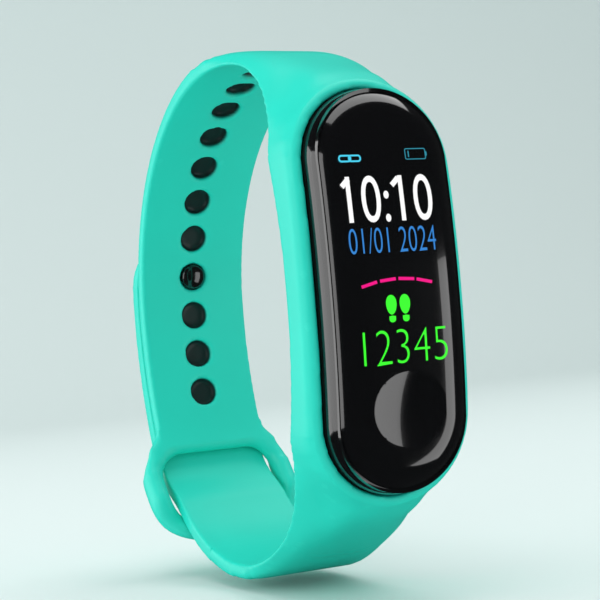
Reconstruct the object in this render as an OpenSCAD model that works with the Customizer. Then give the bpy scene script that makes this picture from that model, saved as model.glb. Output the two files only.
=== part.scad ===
/* [Closed band] */
// Inside of the closed band, from the capsule side to the back
wrist_d = 52; // [51:0.5:62]
// Radius of the inner face behind the capsule
front_r = 64; // [50:1:90]
// Where the upper corner starts, below the capsule's top end
top_in = 5.8; // [4:0.1:9]
// Where the lower corner starts, above the capsule's bottom end
bottom_in = 10.1; // [8:0.1:13]
// Radius of the inner face at the upper front corner
top_r = 17; // [12:0.5:22]
// Radius of the inner face at the lower corner
bottom_r = 25; // [18:0.5:25]

/* [Strap] */
// Width of the strap at the back
strap_w = 16; // [14:0.5:18]
// Thickness of the strap
strap_t = 1.9; // [1.6:0.1:2.4]
// Air between two layers of strap
layer_gap = 0.15; // [0.1:0.05:0.3]
// Width of silicone beside the capsule
holder_side = 1.85; // [1.4:0.05:3]
// Height of the holder's seat above the inner face
holder_t = 3.3; // [2.8:0.1:5]
// Width of silicone above and below the capsule
holder_end = 2.2; // [1.6:0.1:3]

/* [Clasp] */
// Number of size holes
hole_n = 12; // [8:1:13]
// Distance from hole to hole along the strap
hole_pitch = 5.6; // [4.8:0.1:5.8]
// Diameter of a size hole
hole_d = 3.9; // [3.4:0.1:4.4]
// Holes below the one that is fastened
holes_below = 3; // [1:1:5]
// Where the fastened hole sits above the rearmost point
stud_s = 5.4; // [3:0.1:7]
// Clear space around the stud's head in its hole
stud_gap = 0.225; // [0.15:0.025:0.3]
// Diameter of the stud's neck
stud_neck_d = 2.4; // [1.8:0.1:2.8]
// Diameter of the stud's outer cap
stud_cap_d = 6.4; // [5:0.1:8]
// Length of the tail past the stud
tip_len = 6.6; // [5:0.1:12]
// Distance from the stud to the line where the tail bends
peel_arm = 13; // [11:0.5:14]

/* [Loop] */
// Width of each side of the loop
loop_rail = 3; // [2.4:0.1:4]
// Length of the loop along the strap
loop_l = 15.6; // [14:0.2:18]
// Length of the slot along the strap
slot_l = 9.6; // [8.6:0.2:10.5]
// Clear space beside the tail in the slot
slot_side = 0.4; // [0.2:0.1:0.8]
// Distance from the lowest hole to the loop
loop_from_hole = 5.6; // [4:0.1:7]

/* [Capsule] */
// Length of the capsule
cap_l = 46.9; // [44:0.1:50]
// Width of the capsule
cap_w = 17.9; // [16.5:0.1:19]
// Thickness of the capsule
cap_t = 12; // [11.4:0.1:13]
// How far the capsule's back stands in towards the wrist
cap_in = 3.8; // [3.2:0.1:4.4]
// Radius of the capsule's front along its length
cap_r = 150; // [100:10:400]
// How far the front flange laps the pocket's rim
flange_lap = 0.8; // [0.5:0.1:1.1]
// Clearance between the capsule and its pocket
pocket_gap = 0.15; // [0.1:0.05:0.25]
// Wall of the plastic shells
wall = 1.0; // [0.8:0.1:1.2]
// Travel of the capsule out of its pocket
cap_travel = 16; // [10:1:24]

/* [Display and key] */
// Display module width
lcd_w = 13.2; // [12.5:0.1:14]
// Display module length
lcd_l = 26.4; // [25:0.1:28]
// Display centre above the capsule's middle
lcd_z = 4.6; // [3.5:0.1:5.5]
// Touch key diameter
key_d = 9.2; // [8:0.1:10]
// Touch key centre below the capsule's middle
key_z = 13.6; // [13:0.1:15]
// Depth of the dished touch key
key_dish = 0.45; // [0.3:0.05:0.7]

/* [Inside] */
// Battery thickness
cell_t = 2.8; // [2.4:0.1:3]
// Circuit board thickness
pcb_t = 0.8; // [0.6:0.1:1]
// Vibration motor can diameter
motor_d = 3.6; // [3.2:0.1:3.8]
// Diameter of the heart rate window
hr_d = 8.4; // [7.5:0.1:9]
// Diameter of a charging contact
pin_d = 1.8; // [1.5:0.1:2.2]

/* [Hidden] */
$fn = 48;
e = 0.02;
DEG = 180 / PI;
yo = -wrist_d / 2;
outer_n = strap_t + layer_gap;
holder_w = cap_w + 2 * holder_side;
stud_head_d = hole_d - 2 * stud_gap;
hole_s0 = stud_s - holes_below * hole_pitch;
loop_top = hole_s0 - loop_from_hole;
bar_l = (loop_l - slot_l) / 2;
slot_top = loop_top - bar_l;
slot_bot = slot_top - slot_l;
loop_bot = loop_top - loop_l;
slot_w = strap_w + 2 * slot_side;
loop_w = slot_w + 2 * loop_rail;
seam_s = stud_s - peel_arm;
pad_z = cap_l / 2 + holder_end;
rear_w = cap_w - 2 * flange_lap;
rear_l = cap_l - 2 * flange_lap;
cap_out = cap_t - cap_in;
seat_r = cap_r - (cap_out - holder_t);
floor_d = wall - cap_in;
flat_d = cap_out - 2.55;
lcd_d = flat_d - 0.1;
pcb_d = lcd_d - 1.5 - 1.25 - pcb_t;
cell_d = pcb_d - 0.2 - cell_t;
hr_board_t = 0.4;
motor_c = floor_d + 0.35 + motor_d / 2;
motor_z = -16.3;
pin_z = 17.2;

// The inner face is a chain of arcs from the rearmost point, s = 0, over the top
// to the front, s > 0, and under the bottom to the front, s < 0.
function fa(k) = asin((cap_l / 2 - (k > 0 ? top_in : bottom_in)) / front_r);
function r2(k) = k > 0 ? top_r : bottom_r;
function c2y(k) = yo + front_r - (front_r - r2(k)) * cos(fa(k));
function c2z(k) = (front_r - r2(k)) * sin(fa(k));
function r3(k) = let (a = -yo - c2y(k), b = c2z(k)) (a * a + b * b - pow(r2(k), 2)) / (2 * (a - r2(k)));
function j3(k) = atan2(c2z(k), c2y(k) + yo + r3(k));
function l3(k) = r3(k) * j3(k) / DEG;
function l2(k) = r2(k) * (180 - fa(k) - j3(k)) / DEG;
function total(k) = l3(k) + l2(k) + front_r * fa(k) / DEG;
function turn(s) = let (k = s < 0 ? -1 : 1, u = abs(s))
    u < l3(k) ? DEG * u / r3(k)
    : u < l3(k) + l2(k) ? j3(k) + DEG * (u - l3(k)) / r2(k)
    : 180 - fa(k) + DEG * (u - l3(k) - l2(k)) / front_r;
function pt(s, n) = let (k = s < 0 ? -1 : 1, u = abs(s), f = turn(s),
        c = u < l3(k) ? [-yo - r3(k), 0, r3(k)]
            : u < l3(k) + l2(k) ? [c2y(k), c2z(k), r2(k)] : [yo + front_r, 0, front_r])
    [c[0] + (c[2] + n) * cos(f), k * (c[1] + (c[2] + n) * sin(f))];
function ease(x) = let (u = min(1, max(0, x))) u * u * (3 - 2 * u);
// The tail's inner face climbs from the inner layer to the outer one inside the slot.
function climb(s) = outer_n * ease((s - slot_bot - 0.7) / (slot_l - 1.5));
function steps(a, b, d) = let (n = ceil(abs(b - a) / d)) [for (i = [0:n]) a + (b - a) * i / n];
function band(a, b, n0, n1, d = 1.5) = let (q = steps(a, b, d))
    concat([for (s = q) pt(s, n0)], [for (i = [len(q) - 1:-1:0]) pt(q[i], n1)]);
function climb_band(a, b) = let (q = steps(a, b, 0.8))
    concat([for (s = q) pt(s, climb(s))], [for (i = [len(q) - 1:-1:0]) pt(q[i], climb(q[i]) + strap_t)]);
function seat_y(z) = yo - holder_t + seat_r - sqrt(seat_r * seat_r - z * z);
function tangent(k) = let (qy = seat_y(pad_z) - c2y(k), qz = pad_z - c2z(k), r = r2(k) + strap_t,
        a = atan2(qz, qy) - acos(r / norm([qy, qz]))) [c2y(k) + r * cos(a), k * (c2z(k) + r * sin(a))];
// Half width of the holder and of the strap that flares into it, at height z.
function flare(z) = let (u = (abs(z) - cap_l / 2 + 10.4) / 17)
    strap_w / 2 + (holder_w - strap_w) / 2 * (1 - ease(u));

module along_x(w) { rotate([90, 0, 90]) linear_extrude(height = w, center = true) children(); }
module outward(d0, d1) { translate([0, yo - d0, 0]) rotate([90, 0, 0]) linear_extrude(height = d1 - d0) children(); }
module at_path(s, n) {
    p = pt(s, n);
    translate([0, p[0], p[1]]) rotate([(s < 0 ? -1 : 1) * turn(s), 0, 0]) children();
}
module radial(d, h) { rotate([-90, 0, 0]) cylinder(d = d, h = h); }
module stadium(w, l) {
    for (k = [-1, 1]) translate([0, k * (l - w) / 2]) circle(d = w);
    square([w, l - w], center = true);
}
module box_d(x, z, w, l, d0, d1) { translate([x - w / 2, yo - d1, z - l / 2]) cube([w, d1 - d0, l]); }
module disc_d(x, z, d, d0, d1) { translate([x, yo - d0, z]) rotate([90, 0, 0]) cylinder(d = d, h = d1 - d0); }
// Everything behind the arc that stands d off the inner face at the capsule's middle.
module behind(d, r) { translate([0, yo - d + r, 0]) rotate([0, 90, 0]) cylinder(r = r, h = 60, center = true, $fn = 160); }

module inner_cut() {
    polygon(concat([for (s = steps(0, total(1) - e, 1.5)) pt(s, 0)],
        [for (s = steps(-total(-1) + e, slot_bot, 1.5)) pt(s, 0)],
        [for (s = steps(slot_bot, 0, 1.5)) pt(s, -3)]));
}
module band_shape() {
    polygon(band(slot_top, total(1), 0, strap_t));
    polygon(climb_band(-total(-1), seam_s));
}
module pad_shape() {
    difference() {
        polygon(concat([for (z = [-pad_z:2:pad_z]) [seat_y(z), z]], [[seat_y(pad_z), pad_z], tangent(1)],
            [for (k = [1, -1]) [c2y(k) - 8, k * c2z(k)]], [tangent(-1)]));
        inner_cut();
    }
}
module plan_shape() {
    polygon(concat([for (z = [-60:1:60]) [flare(z), z]], [for (z = [60:-1:-60]) [-flare(z), z]]));
}
// The holder's rim follows the capsule's outline, and a narrower ridge runs from it into the strap.
module pad_plan() {
    stadium(holder_w, 2 * pad_z);
    polygon([for (k = [1, -1]) each [[-k * 5.4, k * (pad_z - 3)], [-k * 5.8, k * (pad_z + 2)], [-k * 7.8, k * (pad_z + 9)],
        [k * 7.8, k * (pad_z + 9)], [k * 5.8, k * (pad_z + 2)], [k * 5.4, k * (pad_z - 3)]]]);
}
// Half width of the loop, v above its middle: round corners below, a flare into the strap above.
function loop_half(v) = let (c = loop_l / 2 - 3.4, t = (v - c + 1) / 5.4)
    v < -c ? loop_w / 2 - 3.4 + sqrt(max(0, 3.4 * 3.4 - pow(v + c, 2)))
    : strap_w / 2 + (loop_w - strap_w) / 2 * (1 - ease(t));
module loop_body() {
    m = (loop_top + loop_bot) / 2;
    v = steps(-loop_l / 2 + 0.02, loop_l / 2 + 2, 0.4);
    intersection() {
        difference() {
            union() {
                along_x(loop_w + 1) polygon(band(loop_bot - 1, loop_top - 0.6, 0, outer_n + strap_t, 1));
                along_x(loop_w + 1) polygon(band(slot_top, hole_s0 - hole_d, 0, strap_t, 1));
            }
            along_x(slot_w) polygon(band(loop_bot - 2, slot_top, -1, outer_n, 1));
            along_x(slot_w) polygon(band(slot_bot, loop_top + 2, strap_t, outer_n + strap_t + 1, 1));
        }
        at_path(m, -6) rotate([-90, 0, 0]) linear_extrude(height = 20) polygon(concat(
            [for (i = [0:len(v) - 1]) [loop_half(v[i]), -v[i]]],
            [for (i = [len(v) - 1:-1:0]) [-loop_half(v[i]), -v[i]]]));
    }
}
module strap() color("MediumTurquoise") difference() {
    union() {
        intersection() {
            along_x(holder_w + 2) band_shape();
            union() {
                translate([0, 1, 0]) rotate([90, 0, 0]) linear_extrude(height = 60) plan_shape();
                translate([-strap_w / 2, 0, -80]) cube([strap_w, 80, 160]);
            }
        }
        intersection() {
            along_x(holder_w + 2) pad_shape();
            translate([0, 1, 0]) rotate([90, 0, 0]) linear_extrude(height = 60) pad_plan();
        }
        loop_body();
    }
    outward(-8, 12) stadium(rear_w + 2 * pocket_gap, rear_l + 2 * pocket_gap);
    for (i = [0:hole_n - 1]) at_path(hole_s0 + i * hole_pitch, -1) radial(hole_d, strap_t + 1 + layer_gap / 2);
    knuckle(0.05);
}
// The round end of the tail's free part, and the notch it turns in.
module knuckle(gap) {
    at_path(seam_s, outer_n + strap_t / 2) {
        rotate([0, 90, 0]) cylinder(d = strap_t + 2 * gap, h = strap_w + (gap > 0 ? 1 : 0), center = true);
        if (gap > 0) translate([-strap_w, 0, -strap_t / 2 - gap]) cube([2 * strap_w, strap_t, strap_t / 2 + gap]);
    }
}
tip_s = stud_s + tip_len;
module tail_tip() color("Turquoise") difference() {
    union() {
        knuckle(0);
        intersection() {
            along_x(strap_w) polygon(band(seam_s, tip_s, outer_n, outer_n + strap_t, 1.2));
            at_path(tip_s - strap_w / 2, -8) rotate([-90, 0, 0]) linear_extrude(height = 20) {
                circle(d = strap_w + 0.01);
                translate([-strap_w, 0]) square([2 * strap_w, 40]);
            }
        }
    }
    at_path(stud_s, outer_n - 1) radial(stud_neck_d + 0.1, 4);
    at_path(stud_s, outer_n + strap_t - 0.5) radial(stud_cap_d + 0.1, 3);
    at_path(stud_s, outer_n + 0.45) radial(stud_cap_d - 0.9, 0.5);
}
module stud_cap() color("DimGray") at_path(stud_s, outer_n + strap_t - 0.5) difference() {
    union() { radial(stud_cap_d, 0.75); translate([0, 0.7, 0]) radial(stud_cap_d - 1.4, 0.35); }
    translate([0, -1, 0]) radial(stud_neck_d / 2 + 0.1, 1.5);
}
module stud_plate() color("Silver") at_path(stud_s, outer_n + 0.5) difference() {
    radial(stud_cap_d - 1, 0.4);
    translate([0, -1, 0]) radial(stud_neck_d + 0.1, 3);
}
module stud_head() color("Black") at_path(stud_s, 0) {
    difference() {
        union() {
            translate([0, strap_t * 0.62, 0]) radial(stud_neck_d, outer_n + strap_t - 0.55 - strap_t * 0.62);
            translate([0, -0.1, 0]) radial(stud_head_d, strap_t * 0.62 + 0.1);
            intersection() {
                translate([0, 2.9, 0]) sphere(r = 3.45);
                translate([0, -1, 0]) radial(stud_head_d, 1);
            }
        }
    }
    translate([0, outer_n + strap_t - 1, 0]) radial(stud_neck_d / 2, 0.8);
}
module rear_shell() color([0.07, 0.07, 0.08]) difference() {
    intersection() {
        union() {
            outward(-cap_in, 12) stadium(rear_w, rear_l);
        }
        behind(holder_t - 0.1, seat_r - 0.1);
    }
    outward(floor_d, 12) stadium(rear_w - 2 * wall, rear_l - 2 * wall);
    disc_d(0, 0, hr_d + 0.1, -cap_in - 1, 2);
    for (x = [-1, 1]) disc_d(x * 2.6, pin_z, pin_d + 0.1, -cap_in - 1, 2);
}
module seal_gasket() color("DarkSlateGray") difference() {
    intersection() {
        outward(-5, 12) stadium(rear_w - wall * 0.6, rear_l - wall * 0.6);
        behind(holder_t + 0.02, seat_r + 0.02);
    }
    behind(holder_t - 0.1, seat_r - 0.1);
    outward(-8, 14) stadium(rear_w - wall * 1.4, rear_l - wall * 1.4);
}
module mid_frame() color([0.12, 0.12, 0.13]) difference() {
    intersection() {
        outward(-5, 12) stadium(cap_w, cap_l);
        behind(holder_t + 1.2, seat_r + 1.2);
    }
    behind(holder_t + 0.02, seat_r + 0.02);
    outward(-8, 14) stadium(rear_w - 2 * wall + 0.4, rear_l - 2 * wall + 0.4);
}
// The same, cut by short flats, for a face that other steps meet.
module behind_flats(d, r) {
    along_x(60) polygon(concat([for (z = [-33:1.5:33]) [yo - d + r - sqrt(r * r - z * z), z]], [[yo + 20, 33], [yo + 20, -33]]));
}
module front_cover() color([0.02, 0.02, 0.025, 0.8]) difference() {
    rise = cap_out - holder_t - 1.25;
    union() for (i = [0:3]) {
        a = 22.5 * i;
        t = 1.25 + rise * sin(a + 22.5);
        intersection() {
            outward(-6 + 0.3 * i, 14) stadium(cap_w - 4.2 * (1 - cos(a)), cap_l - 4.2 * (1 - cos(a)));
            behind_flats(holder_t + t, seat_r + t);
        }
    }
    behind_flats(holder_t + 1.22, seat_r + 1.22);
    intersection() {
        outward(-7, flat_d) stadium(cap_w - 3, cap_l - 3);
        behind_flats(cap_out - 1.15, cap_r - 1.15);
    }
    disc_d(0, -key_z, key_d, cap_out - key_z * key_z / (2 * cap_r) - key_dish, cap_out + 1);
}
module display_glass() color([0.1, 0.12, 0.16]) box_d(0, lcd_z, lcd_w, lcd_l, lcd_d - 0.9, lcd_d);
module display_backlight() color("White") difference() {
    box_d(0, lcd_z + 0.9, lcd_w - 0.3, lcd_l - 2.1, lcd_d - 1.5, lcd_d - 0.9);
    box_d(0, lcd_z + 0.9, lcd_w - 1.3, lcd_l - 3.1, lcd_d - 1.6, lcd_d - 1.2);
}
module touch_pad() color("Peru") difference() {
    disc_d(0, -key_z, key_d - 1.2, lcd_d - 0.2, lcd_d);
    disc_d(0, -key_z, 1.2, lcd_d - 1, lcd_d + 1);
}
module touch_spring() color("Gold") difference() {
    disc_d(0, -key_z - 0.4, 3, pcb_d + pcb_t, lcd_d - 0.2);
    disc_d(0, -key_z - 0.4, 1.8, pcb_d, lcd_d + 1);
}
module display_connector() color("Ivory") box_d(0, -10.6, 6.4, 1.9, pcb_d + pcb_t, pcb_d + pcb_t + 0.5);
module display_flex() color("Orange") {
    box_d(0, -9.6, 7, 0.15, pcb_d + pcb_t + 0.5, lcd_d - 0.9);
    box_d(0, -10.55, 7, 2, pcb_d + pcb_t + 0.5, pcb_d + pcb_t + 0.65);
    box_d(0, -8.3, 7, 2.7, lcd_d - 1.05, lcd_d - 0.9);
}
module main_pcb() color("DarkGreen") difference() {
    outward(pcb_d, pcb_d + pcb_t) stadium(rear_w - 2 * wall - 0.5, rear_l - 2 * wall - 2.4);
    for (z = [-1, 1]) disc_d(0, z * 19.2, 1.2, pcb_d - 1, pcb_d + 3);
}
module chip(x, z, w, l, h) { box_d(x, z, w, l, pcb_d + pcb_t, pcb_d + pcb_t + h); }
module processor() color("DimGray") chip(-1.6, 4.5, 6, 6, 0.85);
module flash_memory() color("DimGray") chip(2.2, -2.4, 4, 3, 0.75);
module motion_sensor() color("Gray") chip(-2.8, -2.6, 2, 2, 0.9);
module crystal() color("Silver") chip(3.9, 5.2, 1.6, 3.2, 0.7);
module charge_chip() color("DimGray") chip(-2.2, 12, 2.9, 1.6, 1.0);
module antenna() color("LightBlue") chip(0, 17.6, 5.2, 2, 1.0);
module passives() color("Tan") union() {
    chip(0, -5.6, 9.4, 0.9, 0.12);
    for (i = [-3:3]) chip(i * 1.35, -5.6, 0.5, 0.9, 0.5);
}
module battery() color("Silver") difference() {
    box_d(0, 1.6, 11.4, 20, cell_d, cell_d + cell_t);
    for (x = [-1, 1]) box_d(x * 5.7, 1.6, 1.2, 30, cell_d + 1.2, cell_d + 1.7);
}
module battery_board() color("SeaGreen") box_d(0, 13, 9.6, 2.4, cell_d + 0.6, cell_d + 1.2);
module battery_tabs() color("Gainsboro") for (x = [-1, 1]) {
    box_d(x * 2.6, 12.05, 2.2, 0.9, cell_d + 1.2, cell_d + 1.35);
    box_d(x * 2.6, 11.675, 2.2, 0.15, cell_d + 1.2, cell_d + 1.9);
}
module motor_at(x) { translate([x, yo - motor_c, motor_z]) rotate([0, 90, 0]) children(); }
module motor_can() color("LightGray") motor_at(-5) difference() {
    cylinder(d = motor_d, h = 6);
    translate([0, 0, 0.4]) cylinder(d = motor_d - 0.5, h = 7);
    translate([0, 0, -1]) cylinder(d = 0.9, h = 3);
}
module motor_endcap() color("Ivory") motor_at(0.62) difference() {
    cylinder(d = motor_d - 0.5, h = 0.38);
    translate([0, 0, -1]) cylinder(d = 0.9, h = 3);
}
module motor_rotor() color("Peru") motor_at(-4.2) difference() {
    cylinder(d = motor_d - 1.1, h = 4.2);
    translate([0, 0, -1]) cylinder(d = 0.8, h = 7);
}
module motor_shaft() color("Silver") motor_at(-4.9) cylinder(d = 0.8, h = 9.6);
module motor_weight() color("Goldenrod") motor_at(1.3) difference() {
    intersection() {
        cylinder(d = motor_d - 0.2, h = 3.2);
        translate([-0.75, -4, -1]) cube([8, 8, 8]);
    }
    translate([0, 0, -1]) cylinder(d = 0.8, h = 6);
}
module motor_cradle() color("Black") difference() {
    box_d(-2, motor_z, 4.4, motor_d + 1.2, floor_d, motor_c - 0.2);
    motor_at(-5) cylinder(d = motor_d, h = 6);
}
module hr_window() color([0.1, 0.16, 0.14, 0.6]) union() {
    disc_d(0, 0, hr_d, -cap_in - 0.35, floor_d);
}
module hr_barrier() color("Black") difference() {
    disc_d(0, 0, hr_d - 0.4, floor_d, cell_d - 0.1 - hr_board_t);
    for (x = [-1, 1]) box_d(x * 2.6, 0, 1.5, 1.5, -10, 10);
    box_d(0, 0, 2.2, 2.2, -10, 10);
}
module hr_board() color("DarkGreen") box_d(0, 0, hr_d, hr_d, cell_d - 0.1 - hr_board_t, cell_d - 0.1);
module hr_part(x, w) { box_d(x, 0, w, w, cell_d - 0.1 - hr_board_t - 0.3, cell_d - 0.1 - hr_board_t); }
module hr_led_left() color("Lime") hr_part(-2.6, 1.1);
module hr_led_right() color("Lime") hr_part(2.6, 1.1);
module hr_photodiode() color("Navy") hr_part(0, 1.8);
module pin_at(x) {
    disc_d(x, pin_z, pin_d, -cap_in - 0.05, floor_d + 0.3);
    disc_d(x, pin_z, pin_d + 0.9, floor_d, floor_d + 0.3);
}
module contact_left() color("Gold") pin_at(-2.6);
module contact_right() color("Gold") pin_at(2.6);

strap();
tail_tip();
stud_cap();
stud_plate();
stud_head();
rear_shell();
seal_gasket();
mid_frame();
front_cover();
display_glass();
display_backlight();
display_connector();
display_flex();
touch_pad();
touch_spring();
main_pcb();
processor();
flash_memory();
motion_sensor();
crystal();
charge_chip();
antenna();
passives();
battery();
battery_board();
battery_tabs();
motor_can();
motor_endcap();
motor_rotor();
motor_shaft();
motor_weight();
motor_cradle();
hr_window();
hr_barrier();
hr_board();
hr_led_left();
hr_led_right();
hr_photodiode();
contact_left();
contact_right();
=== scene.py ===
import math

import bmesh
import bpy
from bpy.props import FloatProperty, FloatVectorProperty, PointerProperty
from bpy.types import Operator, Panel, PropertyGroup
from mathutils import Matrix, Vector


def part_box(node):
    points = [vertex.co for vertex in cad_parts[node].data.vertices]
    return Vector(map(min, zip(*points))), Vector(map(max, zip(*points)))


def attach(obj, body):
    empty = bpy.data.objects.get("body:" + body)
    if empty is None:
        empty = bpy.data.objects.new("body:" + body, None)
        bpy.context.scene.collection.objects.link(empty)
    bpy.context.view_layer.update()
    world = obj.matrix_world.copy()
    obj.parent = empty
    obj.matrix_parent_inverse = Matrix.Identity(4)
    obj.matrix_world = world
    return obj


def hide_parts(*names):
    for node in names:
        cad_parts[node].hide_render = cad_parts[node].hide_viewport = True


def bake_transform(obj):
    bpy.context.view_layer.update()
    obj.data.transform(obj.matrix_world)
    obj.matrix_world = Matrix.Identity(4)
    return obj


bl_info = {
    "name": "Fitness tracker band",
    "version": (1, 0, 0),
    "blender": (4, 5, 0),
    "location": "View3D > Sidebar > Band",
    "description": "Builds the silicone band, its clasp stud, the glossy capsule and its lit display",
    "category": "Object",
}

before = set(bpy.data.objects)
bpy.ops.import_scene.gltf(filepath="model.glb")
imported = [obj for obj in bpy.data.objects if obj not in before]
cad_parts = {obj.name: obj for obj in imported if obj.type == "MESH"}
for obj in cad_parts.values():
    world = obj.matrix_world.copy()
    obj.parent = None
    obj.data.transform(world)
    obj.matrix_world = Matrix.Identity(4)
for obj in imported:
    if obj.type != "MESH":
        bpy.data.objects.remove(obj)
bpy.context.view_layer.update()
MM = 0.001


# ---------------------------------------------------------------- sizes and colours

def size(name, default, description):
    """A length property whose default is given in millimetres"""
    return FloatProperty(name=name, default=default * MM, description=description, unit="LENGTH", precision=5)


def paint(name, rgb, description):
    return FloatVectorProperty(name=name, default=rgb, description=description, subtype="COLOR", size=3,
                               min=0, max=1)


def angle(name, default, description):
    return FloatProperty(name=name, default=default, description=description, subtype="ANGLE")


class BandSizes(PropertyGroup):
    """Sizes of the silicone band, as moulded"""
    thickness: size("Strap thickness", 1.9, "Thickness of one layer of the strap")
    width: size("Strap width", 16, "Width of the strap away from the holder")
    layer: size("Outer layer", 2.05, "How far the tail lies outside the hole strap's inner face")
    depth_front: size("Front of wrist opening", 26, "Inner face at the front, from the middle of the wrist")
    front_radius: size("Front radius", 64, "Radius of the inner face behind the capsule")
    top_radius: size("Upper bend", 17, "Radius of the bend above the capsule")
    bottom_radius: size("Lower bend", 25, "Radius of the bend below the capsule")
    top_start: size("Upper bend start", 17.65, "Height at which the upper bend starts")
    bottom_start: size("Lower bend start", 13.35, "Depth at which the lower bend starts")
    hole: size("Size hole", 3.9, "Diameter of a size hole")
    hole_pitch: size("Hole spacing", 5.6, "Distance from hole to hole")
    hole_first: size("First hole", -11.4, "Place of the lowest hole along the strap")
    # Painted shade: this skin closes each unused size hole, so that the hole shows painted dark instead of what
    # lies behind it
    shade_skin: size("Hole skin", 0.5, "Thin skin left at the outer end of each unused hole")
    grain: size("Voxel", 0.28, "Cell of the remesh that softens the moulded edges")


class CapsuleSizes(PropertyGroup):
    """Sizes of the tracker capsule"""
    length: size("Length", 46.9, "Length of the capsule")
    width: size("Width", 17.9, "Width of the capsule")
    proud: size("Front", 8.2, "Cover's front, out from the strap's inner face")
    inward: size("Back", 3.8, "Capsule's back, in from the strap's inner face")
    seam: size("Seam", 4.55, "Seam between frame and cover, out from the inner face")
    bulge: size("Flank rounding", 4.2, "Radius of the cover's rounded flank")
    crown: size("Lengthwise radius", 150, "Radius of the cover along its length")
    key: size("Key", 9.2, "Diameter of the dished touch key")
    key_down: size("Key place", 13.6, "How far below the middle the key sits")
    dish: size("Key dish", 0.5, "Depth of the key's dish")


class StudSizes(PropertyGroup):
    """Sizes of the clasp stud"""
    place: size("Stud place", 5.4, "Place of the stud along the strap")
    head: size("Head", 3.45, "Diameter of the stud's head")
    neck: size("Neck", 2.4, "Diameter of the stud's neck")
    cap: size("Outer cap", 6.4, "Diameter of the cap on the outside of the tail")


class Finishes(PropertyGroup):
    """Colours and finishes"""
    silicone: paint("Silicone", (0.010, 0.690, 0.545), "Turquoise of the band")
    # Painted shade: the near-black that the material lays inside the size holes
    hole_painted_shade: paint("Hole shade", (0.012, 0.032, 0.030), "Dark inside of the size holes")
    gloss: paint("Cover", (0.0025, 0.0025, 0.003), "Glossy black of the cover")
    shell: paint("Shell", (0.010, 0.010, 0.011), "Black of the rear shell")
    white: paint("Time", (1.0, 1.0, 1.0), "Lit time")
    blue: paint("Date", (0.035, 0.22, 0.62), "Lit date")
    cyan: paint("Signs", (0.07, 0.62, 0.85), "Lit signs at the top")
    pink: paint("Arc", (0.87, 0.008, 0.23), "Lit arc")
    green: paint("Steps", (0.045, 1.0, 0.03), "Lit steps")
    glow: FloatProperty(name="Glow", default=1.1, description="Strength of the lit display", min=0)


class StageSettings(PropertyGroup):
    """Floor and camera"""
    floor_drop: size("Floor", 36.5, "How far the floor lies below the middle of the wrist")
    floor: paint("Floor colour", (0.74, 0.82, 0.81), "Pale floor and backdrop")
    lens: FloatProperty(name="Lens", default=94.56, description="Focal length in millimetres", min=1)
    turn: angle("Turn", 0.4683, "How far the camera looks round")
    tilt: angle("Tilt", 0.021, "How far the camera looks up")
    lean: angle("Lean", -0.0815, "How far the camera leans over")
    back: size("Distance", 207.3, "Distance of the camera from the middle of the wrist")
    shift: FloatVectorProperty(name="Aim", default=(0.00373, 0.00057), size=2, unit="LENGTH",
                               description="How far the camera stands off to its right and up")


def sizes():
    scene = bpy.context.scene
    return scene.band_sizes, scene.capsule_sizes, scene.stud_sizes, scene.finishes, scene.stage_settings


# ---------------------------------------------------------------- the strap's path

class Path:
    """The band's inner face: arcs from the rearmost point, over the top for s > 0 and under it for s < 0"""

    def __init__(self, b):
        self.arcs = {}
        yo = -b.depth_front / MM
        bends = ((1, b.top_radius / MM, b.top_start / MM), (-1, b.bottom_radius / MM, b.bottom_start / MM))
        for side, radius, start in bends:
            front = b.front_radius / MM
            fa = math.asin(start / front)
            cy, cz = yo + front - (front - radius) * math.cos(fa), (front - radius) * math.sin(fa)
            a = -yo - cy
            rear = (a * a + cz * cz - radius * radius) / (2 * (a - radius))
            join = math.atan2(cz, cy + yo + rear)
            self.arcs[side] = [(-yo - rear, 0.0, rear, 0.0, join), (cy, cz, radius, join, math.pi - fa),
                               (yo + front, 0.0, front, math.pi - fa, math.pi)]

    def at(self, s, n):
        """y and z at s along the path and n out from it, all in millimetres"""
        side, u = (1, s) if s >= 0 else (-1, -s)
        for cy, cz, r, f0, f1 in self.arcs[side]:
            if u <= r * (f1 - f0) or f1 == math.pi:
                f = f0 + u / r
                return cy + (r + n) * math.cos(f), side * (cz + (r + n) * math.sin(f))
            u -= r * (f1 - f0)

    def turn(self, s):
        """Angle of the outward direction at s, from +y towards +z"""
        side, u = (1, s) if s >= 0 else (-1, -s)
        for cy, cz, r, f0, f1 in self.arcs[side]:
            if u <= r * (f1 - f0) or f1 == math.pi:
                return side * (f0 + u / r)
            u -= r * (f1 - f0)

    def of(self, y, z):
        """s and n of a point: how far it lies along the path, and how far out from it"""
        side, z = (1, z) if z >= 0 else (-1, -z)
        u = 0.0
        for cy, cz, r, f0, f1 in self.arcs[side]:
            f = math.atan2(z - cz, y - cy)
            if f < -0.5:
                f += 2 * math.pi
            if f <= f1 or f1 == math.pi:
                return side * (u + r * (f - f0)), math.hypot(z - cz, y - cy) - r
            u += r * (f1 - f0)

    def matrix(self, s, n):
        """Local z points outward from the strap and local y back along the path, at s and n in millimetres"""
        y, z = self.at(s, n)
        return Matrix.Translation((0, y * MM, z * MM)) @ Matrix.Rotation(self.turn(s) - math.pi / 2, 4, "X")


# ---------------------------------------------------------------- small helpers

def new_piece(name, bm, material, smooth=True):
    mesh = bpy.data.meshes.new(name)
    bm.to_mesh(mesh)
    bm.free()
    for face in mesh.polygons:
        face.use_smooth = smooth
    piece = bpy.data.objects.new(name, mesh)
    bpy.context.scene.collection.objects.link(piece)
    if material:
        mesh.materials.append(material)
    return piece


def settle_modifiers(piece):
    """Applies every modifier of a piece, so that its mesh is what it shows"""
    graph = bpy.context.evaluated_depsgraph_get()
    mesh = bpy.data.meshes.new_from_object(piece.evaluated_get(graph))
    piece.modifiers.clear()
    old, piece.data = piece.data, mesh
    bpy.data.meshes.remove(old)
    mesh.name = piece.name
    return piece


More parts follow.
